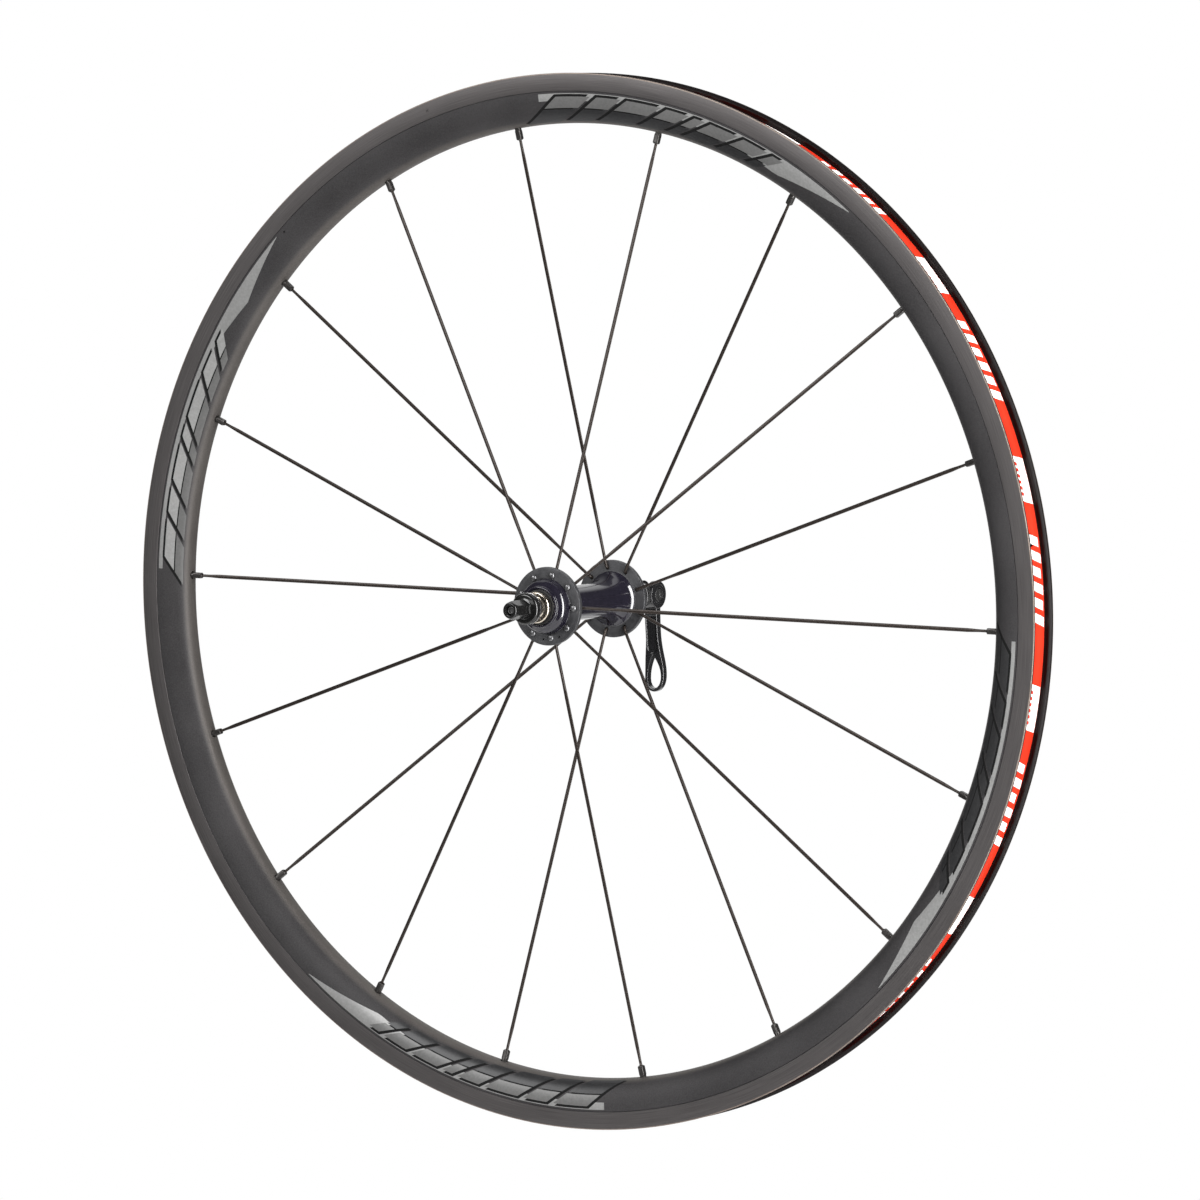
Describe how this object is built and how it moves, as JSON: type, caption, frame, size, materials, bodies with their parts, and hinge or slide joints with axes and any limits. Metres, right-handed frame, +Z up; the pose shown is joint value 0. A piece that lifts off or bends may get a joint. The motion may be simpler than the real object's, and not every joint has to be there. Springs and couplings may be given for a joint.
{
  "type": "bicycle front wheel",
  "caption": "Road bicycle front wheel: deep aluminium clincher rim, bladed radial spokes, turned hub on bearings and a quick-release skewer with a looped lever.",
  "frame": {"origin": "middle of the hub, on the wheel's axis, in the rim's middle plane", "axes": "+Y along the axle towards the lever side of the skewer, +Z up, the rim in the XZ plane"},
  "size_m": [0.634, 0.1656, 0.634],
  "materials": {
    "rim": "dark grey anodised, satin, brake track a little lighter",
    "rim_tape": "bright red tape with pale patches",
    "spoke": "black oxide, satin",
    "nipple": "gunmetal, satin",
    "hub": "gloss black anodised, faintly blue; satin grey flange faces",
    "bearing_steel": "ground steel",
    "seal": "matt black",
    "axle": "black, satin",
    "end_cap": "polished, faintly warm",
    "rod": "drawn steel",
    "clamp_ring": "bright serrated steel",
    "skewer_black": "black anodised, semi-gloss",
    "bush": "moulded polymer, satin",
    "pivot": "dark steel"
  },
  "bodies": {
    "axle": {"axle": "axle", "left_end_cap": "end_cap", "right_end_cap": "end_cap", "left_inner_race": "bearing_steel", "right_inner_race": "bearing_steel"},
    "wheel": {"rim": "rim", "rim_tape": "rim_tape", "hub_shell": "hub", "left_outer_race": "bearing_steel", "left_seal": "seal", "right_outer_race": "bearing_steel", "right_seal": "seal", "spoke_01": "spoke", "spoke_02": "spoke", "spoke_03": "spoke", "spoke_04": "spoke", "spoke_05": "spoke", "spoke_06": "spoke", "spoke_07": "spoke", "spoke_08": "spoke", "spoke_09": "spoke", "spoke_10": "spoke", "spoke_11": "spoke", "spoke_12": "spoke", "spoke_13": "spoke", "spoke_14": "spoke", "spoke_15": "spoke", "spoke_16": "spoke", "spoke_17": "spoke", "spoke_18": "spoke", "nipple_01": "nipple", "nipple_02": "nipple", "nipple_03": "nipple", "nipple_04": "nipple", "nipple_05": "nipple", "nipple_06": "nipple", "nipple_07": "nipple", "nipple_08": "nipple", "nipple_09": "nipple", "nipple_10": "nipple", "nipple_11": "nipple", "nipple_12": "nipple", "nipple_13": "nipple", "nipple_14": "nipple", "nipple_15": "nipple", "nipple_16": "nipple", "nipple_17": "nipple", "nipple_18": "nipple"},
    "left_ball_set": {"left_balls": "bearing_steel"},
    "right_ball_set": {"right_balls": "bearing_steel"},
    "skewer": {"skewer_rod": "rod", "pivot_barrel": "pivot"},
    "nut_ring": {"nut_clamp_ring": "clamp_ring"},
    "nut": {"adjusting_nut": "skewer_black"},
    "clamp_washer": {"clamp_cap": "skewer_black", "cap_clamp_ring": "clamp_ring", "cam_bush": "bush"},
    "lever": {"lever": "skewer_black"}
  },
  "joints": [
    {"name": "wheel_spin", "type": "hinge", "parent": "axle", "child": "wheel", "pos_m": [0, 0, 0], "axis": [0, 1, 0], "continuous": true},
    {"name": "left_cage_spin", "type": "hinge", "parent": "axle", "child": "left_ball_set", "pos_m": [0, -0.0424, 0], "axis": [0, 1, 0], "continuous": true},
    {"name": "right_cage_spin", "type": "hinge", "parent": "axle", "child": "right_ball_set", "pos_m": [0, 0.0424, 0], "axis": [0, 1, 0], "continuous": true},
    {"name": "skewer_turn", "type": "hinge", "parent": "axle", "child": "skewer", "pos_m": [0, 0, 0], "axis": [0, 1, 0], "continuous": true},
    {"name": "nut_spin", "type": "hinge", "parent": "nut_ring", "child": "nut", "pos_m": [0, -0.066, 0], "axis": [0, 1, 0], "range_deg": [-720, 720]},
    {"name": "nut_advance", "type": "slide", "parent": "skewer", "child": "nut_ring", "axis": [0, 1, 0], "range_m": [-0.0017, 0.0017]},
    {"name": "lever_pivot", "type": "hinge", "parent": "skewer", "child": "lever", "pos_m": [0, 0.077, 0], "axis": [1, 0, 0], "range_deg": [0, 170]},
    {"name": "clamp_release", "type": "slide", "parent": "skewer", "child": "clamp_washer", "axis": [0, 1, 0], "range_m": [0, 0.0012]}
  ],
  "couplings": [
    {"joint": "left_cage_spin", "follows": "wheel_spin", "ratio": 0.6},
    {"joint": "right_cage_spin", "follows": "wheel_spin", "ratio": 0.6},
    {"joint": "nut_advance", "follows": "nut_spin", "m_per_rad": 0.00012732},
    {"joint": "clamp_release", "follows": "lever_pivot", "m_per_rad": 0.0003943}
  ]
}
